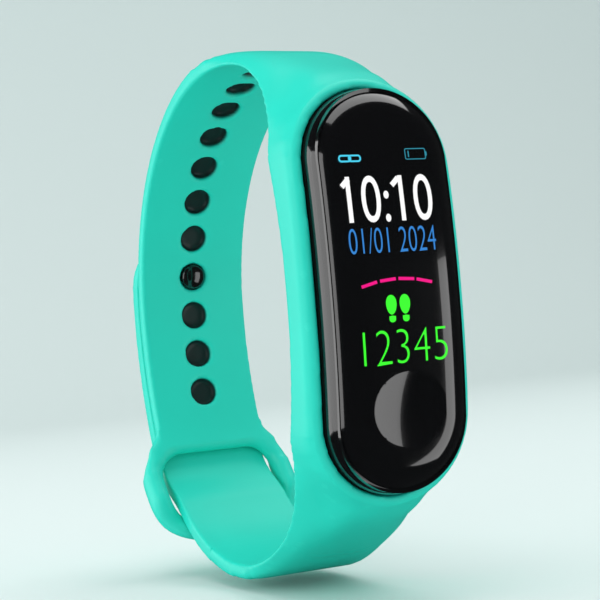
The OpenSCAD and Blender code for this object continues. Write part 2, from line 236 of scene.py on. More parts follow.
def sharpen(piece, degrees):
    piece.data.set_sharp_from_angle(angle=math.radians(degrees))


def spun(profile, steps=64):
    """A closed solid of revolution about local z from (radius, height) points, in millimetres"""
    bm = bmesh.new()
    verts = [bm.verts.new((r * MM, 0, h * MM)) for r, h in profile]
    edges = [bm.edges.new(pair) for pair in zip(verts, verts[1:])]
    bmesh.ops.spin(bm, geom=verts + edges, cent=(0, 0, 0), axis=(0, 0, 1), angle=2 * math.pi, steps=steps,
                   use_merge=True)
    bmesh.ops.remove_doubles(bm, verts=bm.verts, dist=1e-7)
    bmesh.ops.recalc_face_normals(bm, faces=bm.faces)
    return bm


def rounded(points, radius, steps=5):
    """The same profile with a small round at each inner corner"""
    out = [points[0]]
    for a, b, c in zip(points, points[1:], points[2:]):
        p, q, r = Vector(a), Vector(b), Vector(c)
        reach = min(radius, (p - q).length * 0.45, (r - q).length * 0.45)
        start, end = q + (p - q).normalized() * reach, q + (r - q).normalized() * reach
        out += [tuple(start.lerp(q, t).lerp(q.lerp(end, t), t)) for t in [i / steps for i in range(steps + 1)]]
    return out + [points[-1]]


# ---------------------------------------------------------------- shared surface effects

def node_group(name, inputs, outputs):
    if name in bpy.data.node_groups:
        return bpy.data.node_groups[name], None, None
    group = bpy.data.node_groups.new(name, "ShaderNodeTree")
    for label, kind, default in inputs:
        socket = group.interface.new_socket(name=label, in_out="INPUT", socket_type=kind)
        if default is not None:
            socket.default_value = default
    for label, kind in outputs:
        group.interface.new_socket(name=label, in_out="OUTPUT", socket_type=kind)
    return group, group.nodes.new("NodeGroupInput"), group.nodes.new("NodeGroupOutput")


def link(tree, source, target):
    tree.links.new(source, target)


def noise(tree, vector, scale, detail=3.0):
    node = tree.nodes.new("ShaderNodeTexNoise")
    node.inputs["Detail"].default_value = detail
    link(tree, vector, node.inputs["Vector"])
    if isinstance(scale, (int, float)):
        node.inputs["Scale"].default_value = scale
    else:
        link(tree, scale, node.inputs["Scale"])
    return node.outputs["Fac"]


def maths(tree, operation, a, b=None, clamp=False):
    node = tree.nodes.new("ShaderNodeMath")
    node.operation, node.use_clamp = operation, clamp
    for value, socket in ((a, node.inputs[0]), (b, node.inputs[1])):
        if value is None:
            continue
        if isinstance(value, (int, float)):
            socket.default_value = value
        else:
            link(tree, value, socket)
    return node.outputs[0]


def blended(tree, factor, a, b):
    node = tree.nodes.new("ShaderNodeMix")
    node.data_type = "RGBA"
    for value, socket in ((factor, node.inputs["Factor"]), (a, node.inputs["A"]), (b, node.inputs["B"])):
        if isinstance(value, bpy.types.NodeSocket):
            link(tree, value, socket)
        elif isinstance(value, (int, float)):
            socket.default_value = value
        else:
            socket.default_value = (*tuple(value)[:3], 1)
    return node.outputs["Result"]


def moulded_grain():
    """Fine moulded grain: a height and a roughness that vary over the surface"""
    group, start, end = node_group("moulded_grain", [
        ("Vector", "NodeSocketVector", None), ("Grain Scale", "NodeSocketFloat", 2500.0),
        ("Cloud Scale", "NodeSocketFloat", 90.0), ("Roughness", "NodeSocketFloat", 0.45),
        ("Spread", "NodeSocketFloat", 0.1),
    ], [("Height", "NodeSocketFloat"), ("Roughness", "NodeSocketFloat"), ("Cloud", "NodeSocketFloat")])
    if start:
        fine = noise(group, start.outputs["Vector"], start.outputs["Grain Scale"], 2)
        cloud = noise(group, start.outputs["Vector"], start.outputs["Cloud Scale"], 4)
        both = maths(group, "ADD", maths(group, "MULTIPLY", fine, 0.6), maths(group, "MULTIPLY", cloud, 0.4))
        spread = maths(group, "MULTIPLY", maths(group, "SUBTRACT", both, 0.5), start.outputs["Spread"])
        link(group, fine, end.inputs["Height"])
        link(group, maths(group, "ADD", start.outputs["Roughness"], spread, True), end.inputs["Roughness"])
        link(group, cloud, end.inputs["Cloud"])
    return group


def edge_wear_and_highlight():
    """A mask of sharp edges, broken up by a soft noise: rubbed wear on most parts, a painted highlight on the
    silicone
    """
    group, start, end = node_group("edge_wear_and_highlight", [
        ("Vector", "NodeSocketVector", None), ("Reach", "NodeSocketFloat", 0.04),
        ("Breakup Scale", "NodeSocketFloat", 400.0),
    ], [("Mask", "NodeSocketFloat")])
    if start:
        shape = group.nodes.new("ShaderNodeNewGeometry").outputs["Pointiness"]
        over = maths(group, "DIVIDE", maths(group, "SUBTRACT", shape, 0.5), start.outputs["Reach"], True)
        broken = noise(group, start.outputs["Vector"], start.outputs["Breakup Scale"], 3)
        link(group, maths(group, "MULTIPLY", over, broken, True), end.inputs["Mask"])
    return group


def brushed_lines():
    """Fine drawn lines along one axis, for metal"""
    group, start, end = node_group("brushed_lines", [
        ("Vector", "NodeSocketVector", None), ("Line Scale", "NodeSocketFloat", 1200.0),
        ("Roughness", "NodeSocketFloat", 0.3),
    ], [("Height", "NodeSocketFloat"), ("Roughness", "NodeSocketFloat")])
    if start:
        turn = group.nodes.new("ShaderNodeMapping")
        turn.inputs["Scale"].default_value = (0.03, 1, 1)
        link(group, start.outputs["Vector"], turn.inputs["Vector"])
        lines = noise(group, turn.outputs["Vector"], start.outputs["Line Scale"], 4)
        spread = maths(group, "MULTIPLY", maths(group, "SUBTRACT", lines, 0.5), 0.25)
        link(group, lines, end.inputs["Height"])
        link(group, maths(group, "ADD", start.outputs["Roughness"], spread, True), end.inputs["Roughness"])
    return group


def place_group(tree, group, **values):
    node = tree.nodes.new("ShaderNodeGroup")
    node.node_tree = group
    for label, value in values.items():
        node.inputs[label.replace("_", " ")].default_value = value
    link(tree, tree.nodes["Object place"].outputs["Object"], node.inputs["Vector"])
    return node


def bare_material(name, **sockets):
    material = bpy.data.materials.new(name)
    material.use_nodes = True
    tree = material.node_tree
    shader = tree.nodes["Principled BSDF"]
    for label, value in sockets.items():
        socket = shader.inputs[label.replace("_", " ")]
        colour = hasattr(value, "__len__") and len(socket.default_value) == 4
        socket.default_value = (*tuple(value)[:3], 1) if colour else value
    place = tree.nodes.new("ShaderNodeTexCoord")
    place.name = "Object place"
    return material, tree, shader


def bump(tree, shader, height, strength, distance):
    node = tree.nodes.new("ShaderNodeBump")
    node.inputs["Strength"].default_value = strength
    node.inputs["Distance"].default_value = distance
    link(tree, height, node.inputs["Height"])
    link(tree, node.outputs["Normal"], shader.inputs["Normal"])


def moulded(name, colour, roughness=0.45, spread=0.12, grain=2500.0, deep=0.00002, wear=0.0, **sockets):
    """Moulded plastic or rubber: clouded colour, fine grain, and rubbed edges where wanted"""
    material, tree, shader = bare_material(name, **sockets)
    skin = place_group(tree, moulded_grain(), Grain_Scale=grain, Roughness=roughness, Spread=spread)
    colour = tuple(colour)[:3]
    tint = 0.12
    darker = tuple(c * (1 - tint) for c in colour)
    lighter = tuple(min(1.0, c * (1 + tint)) for c in colour)
    face = blended(tree, skin.outputs["Cloud"], darker, lighter)
    if wear:
        edges = place_group(tree, edge_wear_and_highlight())
        mask = maths(tree, "MULTIPLY", edges.outputs["Mask"], wear)
        face = blended(tree, mask, face, tuple(min(1.0, c * 1.6 + 0.02) for c in colour))
    link(tree, face, shader.inputs["Base Color"])
    link(tree, skin.outputs["Roughness"], shader.inputs["Roughness"])
    bump(tree, shader, skin.outputs["Height"], 0.25, deep)
    return material


def metal(name, colour, roughness=0.28, lines=1200.0):
    """Drawn or plated metal with fine lines and rubbed edges"""
    material, tree, shader = bare_material(name, Metallic=1.0)
    brush = place_group(tree, brushed_lines(), Line_Scale=lines, Roughness=roughness)
    edges = place_group(tree, edge_wear_and_highlight())
    face = blended(tree, edges.outputs["Mask"], colour, tuple(min(1.0, c * 1.25 + 0.05) for c in colour))
    link(tree, face, shader.inputs["Base Color"])
    link(tree, brush.outputs["Roughness"], shader.inputs["Roughness"])
    bump(tree, shader, brush.outputs["Height"], 0.15, 0.00001)
    return material


def silicone_skin(f):
    """Satin silicone, with painted shade inside the size holes and a painted highlight along its sharp edges"""
    material, tree, shader = bare_material("turquoise_silicone", Coat_Weight=0.06, Coat_Roughness=0.28,
                                           IOR=1.42)
    skin = place_group(tree, moulded_grain(), Grain_Scale=3200.0, Cloud_Scale=70.0, Roughness=0.47, Spread=0.1)
    colour = tuple(f.silicone)
    darker, lighter, painted_edge_highlight = (tuple(min(1, c * much + more) for c in colour)
                               for much, more in ((0.94, 0), (1.06, 0), (1.15, 0.03)))
    face = blended(tree, skin.outputs["Cloud"], darker, lighter)
    # Painted highlight: the silicone's sharp edges are lightened towards a brighter turquoise
    edges = place_group(tree, edge_wear_and_highlight(), Reach=0.06)
    face = blended(tree, maths(tree, "MULTIPLY", edges.outputs["Mask"], 0.35), face, painted_edge_highlight)
    # Painted shade: the hole_shade attribute blends the inside of every size hole towards near black
    shade = tree.nodes.new("ShaderNodeAttribute")
    shade.attribute_name = "hole_shade"
    face = blended(tree, shade.outputs["Fac"], face, tuple(f.hole_painted_shade))
    link(tree, face, shader.inputs["Base Color"])
    smoother = maths(tree, "MULTIPLY", shade.outputs["Fac"], -0.1)
    link(tree, maths(tree, "ADD", skin.outputs["Roughness"], smoother, True), shader.inputs["Roughness"])
    bump(tree, shader, skin.outputs["Height"], 0.12, 0.00002)
    return material


def glossy_cover(f):
    """Piano black cover under a hard clear coat"""
    material, tree, shader = bare_material("gloss_black_cover", Coat_Weight=1.0, Coat_Roughness=0.03,
                                           Coat_IOR=1.5)
    skin = place_group(tree, moulded_grain(), Grain_Scale=900.0, Cloud_Scale=60.0, Roughness=0.12, Spread=0.05)
    face = blended(tree, skin.outputs["Cloud"], tuple(f.gloss), tuple(c * 1.6 for c in f.gloss))
    link(tree, face, shader.inputs["Base Color"])
    link(tree, skin.outputs["Roughness"], shader.inputs["Roughness"])
    return material


def lit(name, colour, glow):
    """A lit part of the display, under the same gloss as the cover"""
    material, tree, shader = bare_material(name, Roughness=0.15, Coat_Weight=1.0, Coat_Roughness=0.03,
                                           Emission_Strength=glow, Base_Color=(0.004, 0.004, 0.004))
    place = tree.nodes["Object place"].outputs["Object"]
    rows = tree.nodes.new("ShaderNodeTexWave")
    rows.bands_direction = "Z"
    rows.inputs["Scale"].default_value = 1400.0
    link(tree, place, rows.inputs["Vector"])
    darker, lighter = tuple(c * 0.9 for c in colour), tuple(min(1.0, c * 1.05) for c in colour)
    face = blended(tree, rows.outputs["Fac"], darker, lighter)
    link(tree, face, shader.inputs["Emission Color"])
    return material


# ---------------------------------------------------------------- the silicone band

def welded_copy(node):
    """A part's mesh as one connected skin"""
    bm = bmesh.new()
    bm.from_mesh(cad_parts[node].data)
    bmesh.ops.remove_doubles(bm, verts=bm.verts, dist=2e-6)
    return bm


def join_in(bm, other):
    """Adds another mesh to this one, and frees it"""
    mesh = bpy.data.meshes.new("joined")
    other.to_mesh(mesh)
    other.free()
    bm.from_mesh(mesh)
    bpy.data.meshes.remove(mesh)


def reached(seed):
    """Every vertex joined to the seed"""
    found, todo = {seed}, [seed]
    while todo:
        for edge in todo.pop().link_edges:
            for vert in edge.verts:
                if vert not in found:
                    found.add(vert)
                    todo.append(vert)
    return found


def cut_layer(bm, path, s, n, keep, near=4.0):
    """Cuts one layer of the strap square across at s, and keeps the part that holds the point keep"""
    y, z = path.at(s, n)
    middle, turn = Vector((0, y * MM, z * MM)), path.turn(s)
    along = Vector((0, -math.sin(turn), math.cos(turn)))
    crossing = set()
    for edge in bm.edges:
        a, b = ((v.co - middle).dot(along) for v in edge.verts)
        if a * b > 0:
            continue
        point = edge.verts[0].co.lerp(edge.verts[1].co, a / (a - b) if a != b else 0.5) - middle
        if math.hypot(point.y, point.z) < near * MM:
            crossing.update(edge.link_faces)
    around = {e for f in crossing for e in f.edges}
    corners = {v for f in crossing for v in f.verts}
    cut = bmesh.ops.bisect_plane(bm, geom=list(crossing | around | corners), dist=1e-7, plane_co=middle,
                                 plane_no=along)["geom_cut"]
    bmesh.ops.split_edges(bm, edges=[e for e in cut if isinstance(e, bmesh.types.BMEdge)])
    ky, kz = path.at(*keep)
    wanted = Vector((0, ky * MM, kz * MM))
    kept = reached(min(bm.verts, key=lambda v: (Vector((0, v.co.y, v.co.z)) - wanted).length))
    bmesh.ops.delete(bm, geom=[v for v in bm.verts if v not in kept], context="VERTS")
    rim = [e for e in bm.edges if e.is_boundary]
    caps = bmesh.ops.holes_fill(bm, edges=rim, sides=0)["faces"]
    for edge in rim:
        if edge.is_valid:
            edge.smooth = False
    return caps


def relax(bm, verts, passes, factor=0.6):
    for _ in range(passes):
        bmesh.ops.smooth_vert(bm, verts=verts, factor=factor, use_axis_x=True, use_axis_y=True, use_axis_z=True)


def softened(name, bm, cell, passes):
    """One closed skin over everything in the mesh, with its edges softened as a moulding's are"""
    piece = new_piece(name, bm, None)
    remesh = piece.modifiers.new("Skin", "REMESH")
    remesh.mode, remesh.voxel_size = "VOXEL", cell * MM
    settle_modifiers(piece)
    bm = bmesh.new()
    bm.from_mesh(piece.data)
    bpy.data.objects.remove(piece)
    relax(bm, bm.verts, passes, 0.5)
    return bm


def true_faces(bm, path, levels, reach=0.09):
    """Lays the faces that belong to a layer of the strap exactly on it"""
    for vert in bm.verts:
        s, n = path.of(vert.co.y / MM, vert.co.z / MM)
        for level in levels(s):
            away = abs(n - level)
            if away < reach:
                share = away / reach
                y, z = path.at(s, level + (n - level) * share * share * (3 - 2 * share))
                vert.co.y, vert.co.z = y * MM, z * MM
                break


def ease(x):
    """Rises smoothly from 0 to 1 as x does"""
    x = min(1.0, max(0.0, x))
    return x * x * (3 - 2 * x)


def hole_places(b):
    return [b.hole_first / MM + i * b.hole_pitch / MM for i in range(12)]


def add_disc(bm, matrix, radius, depth):
    bmesh.ops.create_cone(bm, cap_ends=True, segments=64, radius1=radius * MM, radius2=radius * MM,
                          depth=depth * MM, matrix=matrix)


def shade_holes(piece, path, b):
    """Marks the inside of every size hole, where the material paints shade"""
    shade = piece.data.attributes.new("hole_shade", "FLOAT", "POINT")
    radius = b.hole / 2 + 0.12 * MM
    axes = [path.matrix(s, 0).inverted() for s in hole_places(b)]
    values = [0.0] * len(piece.data.vertices)
    for i, vert in enumerate(piece.data.vertices):
        for into in axes:
            p = into @ vert.co
            if abs(p.z) < 2 * MM and math.hypot(p.x, p.y) < radius:
                values[i] = ease((p.z / MM - 0.12) / 0.5) * (1 - ease((p.z / MM - 1.5) / 0.3))
    shade.data.foreach_set("value", values)


def sweep(bm, geom, cent, angle, steps, dvec=(0, 0, 0)):
    return bmesh.ops.spin(bm, geom=geom, cent=cent, dvec=dvec, axis=(0, 0, 1), angle=angle,
                          steps=steps)["geom_last"]


def loop_rails(bm, path, middle, top, low, side, wide, corner):
    """The loop as one rounded bar bent into a ring: inside the strap's layer above, outside the tail below"""
    ring = bmesh.new()
    turned = (Matrix.Translation((side, 0, 0)) @ Matrix.Diagonal((wide, 1, 1, 1))
              @ Matrix.Rotation(math.pi / 2, 4, "X"))
    bmesh.ops.create_circle(ring, cap_ends=False, radius=1, segments=24, matrix=turned)
    geom = ring.verts[:] + ring.edges[:]
    quarter = math.pi / 2
    legs = (((0, low + corner, 0), (side - corner, low + corner, 0)),
            ((-2 * (side - corner), 0, 0), (corner - side, low + corner, 0)),
            ((0, top - low - 2 * corner, 0), (corner - side, top - corner, 0)),
            ((2 * (side - corner), 0, 0), (side - corner, top - corner, 0)))
    for run, centre in legs:
        geom = sweep(ring, geom, (0, 0, 0), 0.0, 8, [v / 8 for v in run])
        geom = sweep(ring, geom, centre, -quarter, 14)
    sweep(ring, geom, (0, 0, 0), 0.0, 6, (0, -(top - corner) / 6, 0))
    bmesh.ops.remove_doubles(ring, verts=ring.verts, dist=1e-3)
    layer, thick = 2.05, 1.9
    for vert in ring.verts:
        x, v, n = vert.co
        up, down = ease((v - 1.5) / 4.0), ease((-v - 1.5) / 4.0)
        middle_n = (layer + thick) / 2 * (1 - up - down) + thick / 2 * up + (layer + thick / 2) * down
        half_n = (layer + thick) / 2 * (1 - up - down) + thick / 2 * (up + down)
        y, z = path.at(middle + v, middle_n + half_n * n)
        vert.co = Vector((x, y, z)) * MM
    bmesh.ops.recalc_face_normals(ring, faces=ring.faces)
    join_in(bm, ring)


def flow_into_holder(bm, path):
    """Runs the strap smoothly into the holder, and leaves its inner face and the lip round the capsule"""
    end_middle, lip_reach, inner_skin = 14.5, 10.35, 0.35
    stages = ((12, 13, 2), (25, 16, -2), (40, 18, -5), (60, 20, -7), (60, 21, -9), (60, 22, -11), (25, 21, -4))
    for passes, from_z, to_y in stages:
        loose = []
        for vert in bm.verts:
            x, y, z = vert.co / MM
            past_lip = math.hypot(x, max(0.0, abs(z) - end_middle)) > lip_reach
            if y < to_y and abs(z) > from_z and past_lip and path.of(y, z)[1] > inner_skin:
                loose.append(vert)
        relax(bm, loose, passes)


def raise_lip(bm, at):
    """A thin lip of silicone that stands round the capsule's flank, up to the cover's seam"""
    profile = ((0.0, 2.8), (0.0, 3.5), (0.35, 4.05), (0.8, 4.4), (1.1, 4.5), (1.55, 4.5), (1.62, 4.4),
               (1.62, 2.8), (0.0, 2.8))
    lip = lofted(21.4, 50.4, [(inset, at(depth)) for inset, depth in profile])
    bmesh.ops.recalc_face_normals(lip, faces=lip.faces)
    join_in(bm, lip)


class BAND_OT_holder_strap(Operator):
    """Builds the holder, the hole strap and the loop in one moulding, and the tail that folds up outside it"""
    bl_idname = "band.holder_strap"
    bl_label = "Silicone band"

    def execute(self, context):
        b, _, st, f, _ = sizes()
        path, skin = Path(b), silicone_skin(f)
        t, layer = b.thickness / MM, b.layer / MM
        stud = st.place / MM
        seam, joint = stud - 13.0, -39.0

        bm = welded_copy("strap")
        cut_layer(bm, path, joint + 2.5, t / 2, (stud, 0))
        cut_layer(bm, path, -19.4, t, (stud, 0), near=4.6)
        loop_rails(bm, path, -24.8, 6.2, -6.4, 9.98, 1.42, 4.9)
        raise_lip(bm, crowned(b, context.scene.capsule_sizes))
        # Painted shade: a thin skin closes every unused size hole and carries the painted dark of the hole
        for s in hole_places(b):
            if abs(s - stud) > 1:
                skin_depth = b.shade_skin / MM
                add_disc(bm, path.matrix(s, t - 0.15 - skin_depth / 2), b.hole / MM / 2 + 0.3, skin_depth)
        bm = softened("holder_strap", bm, b.grain / MM, 5)
        flow_into_holder(bm, path)
        ears = [v for v in bm.verts if abs(v.co.x) > 8.15 * MM and v.co.y > 5 * MM and v.co.z < -10 * MM
                and -22.5 < path.of(v.co.y / MM, v.co.z / MM)[0] < -12]
        relax(bm, ears, 30)
        true_faces(bm, path, lambda s: (0, t, layer, layer + t) if abs(s) < 62 else (0,))
        cut_layer(bm, path, joint, t / 2, (stud, 0))
        band = new_piece("holder_strap", bm, skin)
        shade_holes(band, path, b)
        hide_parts("strap")
        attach(band, "strap")

        climb = lambda s: layer * ease((s + 28.9) / 8.1)
        bm = welded_copy("strap")
        cut_layer(bm, path, joint - 2.5, t / 2, (-24.0, climb(-24.0)))
        join_in(bm, welded_copy("tail_tip"))
        bridge = Matrix.Diagonal((b.width - 0.02 * MM, 2.6 * MM, b.thickness, 1))
        bmesh.ops.create_cube(bm, size=1, matrix=path.matrix(seam, layer + t / 2) @ bridge)
        bm = softened("folded_tail", bm, 0.2, 7)
        true_faces(bm, path, lambda s: (climb(s), climb(s) + t))
        cut_layer(bm, path, joint, t / 2, (-24.0, climb(-24.0)))
        tail = new_piece("folded_tail", bm, skin)
        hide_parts("tail_tip")
        start, end = path.at(seam - 2, layer), path.at(seam + 2, layer)
        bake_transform(tail)
        return {"FINISHED"}


class BAND_OT_stud(Operator):
    """Builds the clasp stud: a glossy head in its hole, and a cap on the outside of the tail"""
    bl_idname = "band.stud"
    bl_label = "Clasp stud"

    def execute(self, context):
        b, _, st, f, _ = sizes()
        path = Path(b)
        head, neck, cap = (v / MM / 2 for v in (st.head, st.neck, st.cap))
        top = (b.layer + b.thickness) / MM
        black = moulded("stud_black", (0.006, 0.005, 0.005), roughness=0.16, spread=0.06, grain=1500.0,
                        wear=0.15, Coat_Weight=1.0, Coat_Roughness=0.04)
        turns = [i * math.pi / 20 for i in range(1, 11)]
        dome = [(0, -0.62)] + [(head * math.sin(a), -0.62 + 0.62 * (1 - math.cos(a))) for a in turns]
        bm = spun(dome + [(head, 0.7), (head - 0.25, 1.1), (neck, 1.25), (neck, top - 0.5), (0, top - 0.5)], 72)
        bmesh.ops.transform(bm, matrix=path.matrix(st.place / MM, 0), verts=bm.verts)
        piece = new_piece("stud_button", bm, black)
        sharpen(piece, 40)
        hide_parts("stud_head")
        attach(piece, "tail")
        side = cap - 0.02
        edge = [(0, 0.62), (cap - 1.1, 0.62), (cap - 0.75, 0.85), (side, 0.75), (side, 0.0), (0, 0.0)]
        bm = spun(rounded(edge, 0.3), 96)
        bmesh.ops.transform(bm, matrix=path.matrix(st.place / MM, top - 0.5), verts=bm.verts)
        satin = moulded("stud_cap_black", (0.012, 0.012, 0.013), roughness=0.34, wear=0.3)
        piece = new_piece("stud_outer_cap", bm, satin)
        sharpen(piece, 35)
        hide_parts("stud_cap")
        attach(piece, "tail")
        return {"FINISHED"}


# ---------------------------------------------------------------- the capsule

class Outline:
    """A round-ended outline in x and z, whose rings keep one middle line"""

    def __init__(self, bm, width, length, steps=36):
        self.bm, self.half, self.middle = bm, width / 2, (length - width) / 2
        turned = Matrix.Rotation(math.pi / 2, 4, "X") @ Matrix.Rotation(math.pi / (2 * steps), 4, "Z")
        made = bmesh.ops.create_circle(bm, cap_ends=False, radius=1, segments=2 * steps, matrix=turned)
        self.ring = made["verts"]
        for vert in self.ring:
            vert.co.z += self.middle if vert.co.z > 0 else -self.middle
        sides = [e for e in bm.edges if e.verts[0].co.z * e.verts[1].co.z < 0]
        bmesh.ops.subdivide_edges(bm, edges=sides, cuts=36)
        self.ring, self.edges = bm.verts[:], bm.edges[:]
        self.heading = {v: (v.co.x, max(-self.middle, min(self.middle, v.co.z)), v.co.z) for v in self.ring}
        self.heading = {v: (x, m, z - m) for v, (x, m, z) in self.heading.items()}

    def place(self, inset, depth):
        """Lays the last ring at its inset from the outline, depth(z) out from the strap's inner face"""
        for vert, (x, m, z) in self.heading.items():
            along = m + z * (self.half - inset)
            vert.co = Vector((x * (self.half - inset), depth(along), along)) * MM

    def grow(self, inset, depth):
        made = bmesh.ops.extrude_edge_only(self.bm, edges=self.edges)["geom"]
        fresh = [g for g in made if isinstance(g, bmesh.types.BMVert)]
        match = {tuple(round(c, 9) for c in v.co): h for v, h in self.heading.items()}
        self.heading = {v: match[tuple(round(c, 9) for c in v.co)] for v in fresh}
        edges = [g for g in made if isinstance(g, bmesh.types.BMEdge)]
        self.edges = [e for e in edges if all(v in self.heading for v in e.verts)]
        self.place(inset, depth)


def lofted(width, length, rings):
    bm = bmesh.new()
    outline = Outline(bm, width, length)
    outline.place(*rings[0])
    for ring in rings[1:]:
        outline.grow(*ring)
    bmesh.ops.remove_doubles(bm, verts=bm.verts, dist=1e-7)
    bmesh.ops.dissolve_degenerate(bm, edges=bm.edges, dist=1e-8)
    return bm


def walled(piece, outward_sign, wall):
    """Turns a shell's faces outward along y, then gives it its wall"""
    bm = bmesh.new()
    bm.from_mesh(piece.data)
    bmesh.ops.recalc_face_normals(bm, faces=bm.faces)
    bm.faces.ensure_lookup_table()
    flat = max(bm.faces, key=lambda face: abs(face.normal.y) * face.calc_area())
    if flat.normal.y * outward_sign < 0:
        bmesh.ops.reverse_faces(bm, faces=bm.faces)
    bm.to_mesh(piece.data)
    bm.free()
    solid = piece.modifiers.new("Wall", "SOLIDIFY")
    solid.thickness, solid.offset = wall * MM, -1
    return settle_modifiers(piece)


def crowned(b, c):
    """Depth surfaces of the capsule: each one bows along its length as the cover's front does"""
    yo, crown, proud = -b.depth_front / MM, c.crown / MM, c.proud / MM

    def at(depth):
        radius = crown - (proud - depth)
        return lambda z: yo - depth + radius - math.sqrt(radius * radius - z * z)
    return at


def cover_depth(c, b):
    """The cover's front: y, in millimetres, over z"""
    yo, crown = -b.depth_front / MM, c.crown / MM
    return lambda z: yo - c.proud / MM + crown - math.sqrt(crown * crown - z * z)


class BAND_OT_capsule(Operator):
    """Builds the capsule's glossy cover with its dished key, its rear shell and its sensor window"""
    bl_idname = "band.capsule"
    bl_label = "Capsule"

    def execute(self, context):
        b, c, _, f, _ = sizes()
        yo, width, length = -b.depth_front / MM, c.width / MM, c.length / MM
        bulge, crown = c.bulge / MM, c.crown / MM
        seat, proud, seam = 3.3, c.proud / MM, c.seam / MM
        at = crowned(b, c)
        rings = [(0.26, at(seam + 0.02)), (0.08, at(seam + 0.05)), (0.0, at(seam + 0.2))]
        rise = proud - seam
        for i in range(2, 19):
            a = math.radians(5 * i)
            rings.append((bulge * (1 - math.cos(a)), at(seam + rise * math.sin(a))))
        half = width / 2
        for i in range(1, 7):
            rings.append((bulge + (half - bulge) * i / 6, at(proud)))
        cover = new_piece("glossy_cover", lofted(width, length, rings), glossy_cover(f))
        walled(cover, -1, 2.2)

        key, dish, down = c.key / 2, c.dish, c.key_down / MM
        radius = (key * key + dish * dish) / (2 * dish)
        front = Vector((0, cover_depth(c, b)(-down) * MM, -c.key_down))
        facing = Vector((0, -1, -down / crown)).normalized()
        centre = front + facing * (radius - dish)
        bm = bmesh.new()
        turned = facing.to_track_quat("Z", "Y").to_matrix().to_4x4()
        bmesh.ops.create_uvsphere(bm, u_segments=128, v_segments=280, radius=radius,
                                  matrix=Matrix.Translation(centre) @ turned)
        tool = new_piece("dish_tool", bm, None)
        cut = cover.modifiers.new("Dish", "BOOLEAN")
        cut.operation, cut.object, cut.solver = "DIFFERENCE", tool, "EXACT"
        settle_modifiers(cover)
        bpy.data.objects.remove(tool)
        bm = bmesh.new()
        bm.from_mesh(cover.data)
        bmesh.ops.remove_doubles(bm, verts=bm.verts, dist=1e-6)
        rim = [e for e in bm.edges if e.is_manifold and e.calc_face_angle() > math.radians(6)
               and all(abs((v.co - front).length - key) < 0.15 * MM for v in e.verts)]
        bmesh.ops.bevel(bm, geom=rim, offset=0.13 * MM, offset_type="OFFSET", affect="EDGES", segments=3,
                        profile=0.5, material=-1)
        for face in bm.faces:
            face.smooth = True
        bm.to_mesh(cover.data)
        bm.free()
        sharpen(cover, 30)
        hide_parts("front_cover")
        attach(cover, "capsule")

        shell = moulded("shell_black", tuple(f.shell), roughness=0.42, grain=3000.0, deep=0.00004, wear=0.25)
        back = c.inward / MM
        rings = [(0.0, at(seat - 0.12))]
        for i in range(0, 10):
            a = math.radians(10 * i)
            rings.append((1.6 * (1 - math.cos(a)), lambda z, d=1.6 * (1 - math.sin(a)): yo + back - d))
        recess = ((2.5, 0.0), (2.62, 0.03), (2.7, 0.12), (2.78, 0.15), (4.5, 0.15), (6.3, 0.15), (8.15, 0.15))
        for inset, drop in recess:
            rings.append((inset, lambda z, d=drop: yo + back - d))
        rear = new_piece("rear_shell_skin", lofted(16.3, 45.3, rings), shell)
        walled(rear, 1, 0.95)
        sharpen(rear, 40)
        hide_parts("rear_shell")
        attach(rear, "capsule")

        glass = moulded("sensor_window_dark", (0.006, 0.010, 0.009), roughness=0.1, spread=0.04, grain=700.0,
                        Coat_Weight=1.0, Coat_Roughness=0.03)
        low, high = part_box("hr_window")
        middle = (Vector(low) + Vector(high)) / 2
        deep, wide = (high[1] - low[1]) / MM, (high[0] - low[0]) / MM / 2
        half_deep, rim = deep / 2, wide - 0.02
        edge = [(0, half_deep - 0.06), (wide - 1.1, half_deep), (rim, half_deep - 0.12), (rim, -half_deep),
                (0, -half_deep)]
        bm = spun(rounded(edge, 0.3), 96)
        turned = Matrix.Translation(middle) @ Matrix.Rotation(-math.pi / 2, 4, "X")
        bmesh.ops.transform(bm, matrix=turned, verts=bm.verts)
        window = new_piece("sensor_window", bm, glass)
        sharpen(window, 35)
        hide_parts("hr_window")
        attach(window, "capsule")
        return {"FINISHED"}


# ---------------------------------------------------------------- the lit display

def flat_text(bm, body, left, right, low, high, offset):
    curve = bpy.data.curves.new("sign", "FONT")
    curve.body, curve.offset, curve.resolution_u = body, offset, 6
    sign = bpy.data.objects.new("sign", curve)
    bpy.context.scene.collection.objects.link(sign)
    mesh = bpy.data.meshes.new_from_object(sign.evaluated_get(bpy.context.evaluated_depsgraph_get()))
    bpy.data.objects.remove(sign)
    xs, ys = [v.co.x for v in mesh.vertices], [v.co.y for v in mesh.vertices]
    wide, tall = (right - left) / (max(xs) - min(xs)), (high - low) / (max(ys) - min(ys))
    mesh.transform(Matrix(((wide, 0, 0, left - min(xs) * wide), (0, 0, 0, 0),
                           (0, tall, 0, low - min(ys) * tall), (0, 0, 0, 1))))
    bm.from_mesh(mesh)
    bpy.data.meshes.remove(mesh)


def flat_round(bm, x, z, width, height, steps=32, egg=0.0):
    made = bmesh.ops.create_circle(bm, cap_ends=True, radius=0.5, segments=steps,
                                   matrix=Matrix.Rotation(math.pi / 2, 4, "X"))
    for vert in made["verts"]:
        narrow = 1 + egg * vert.co.z
        vert.co = Vector((x + vert.co.x * width * narrow, 0, z + vert.co.z * height))


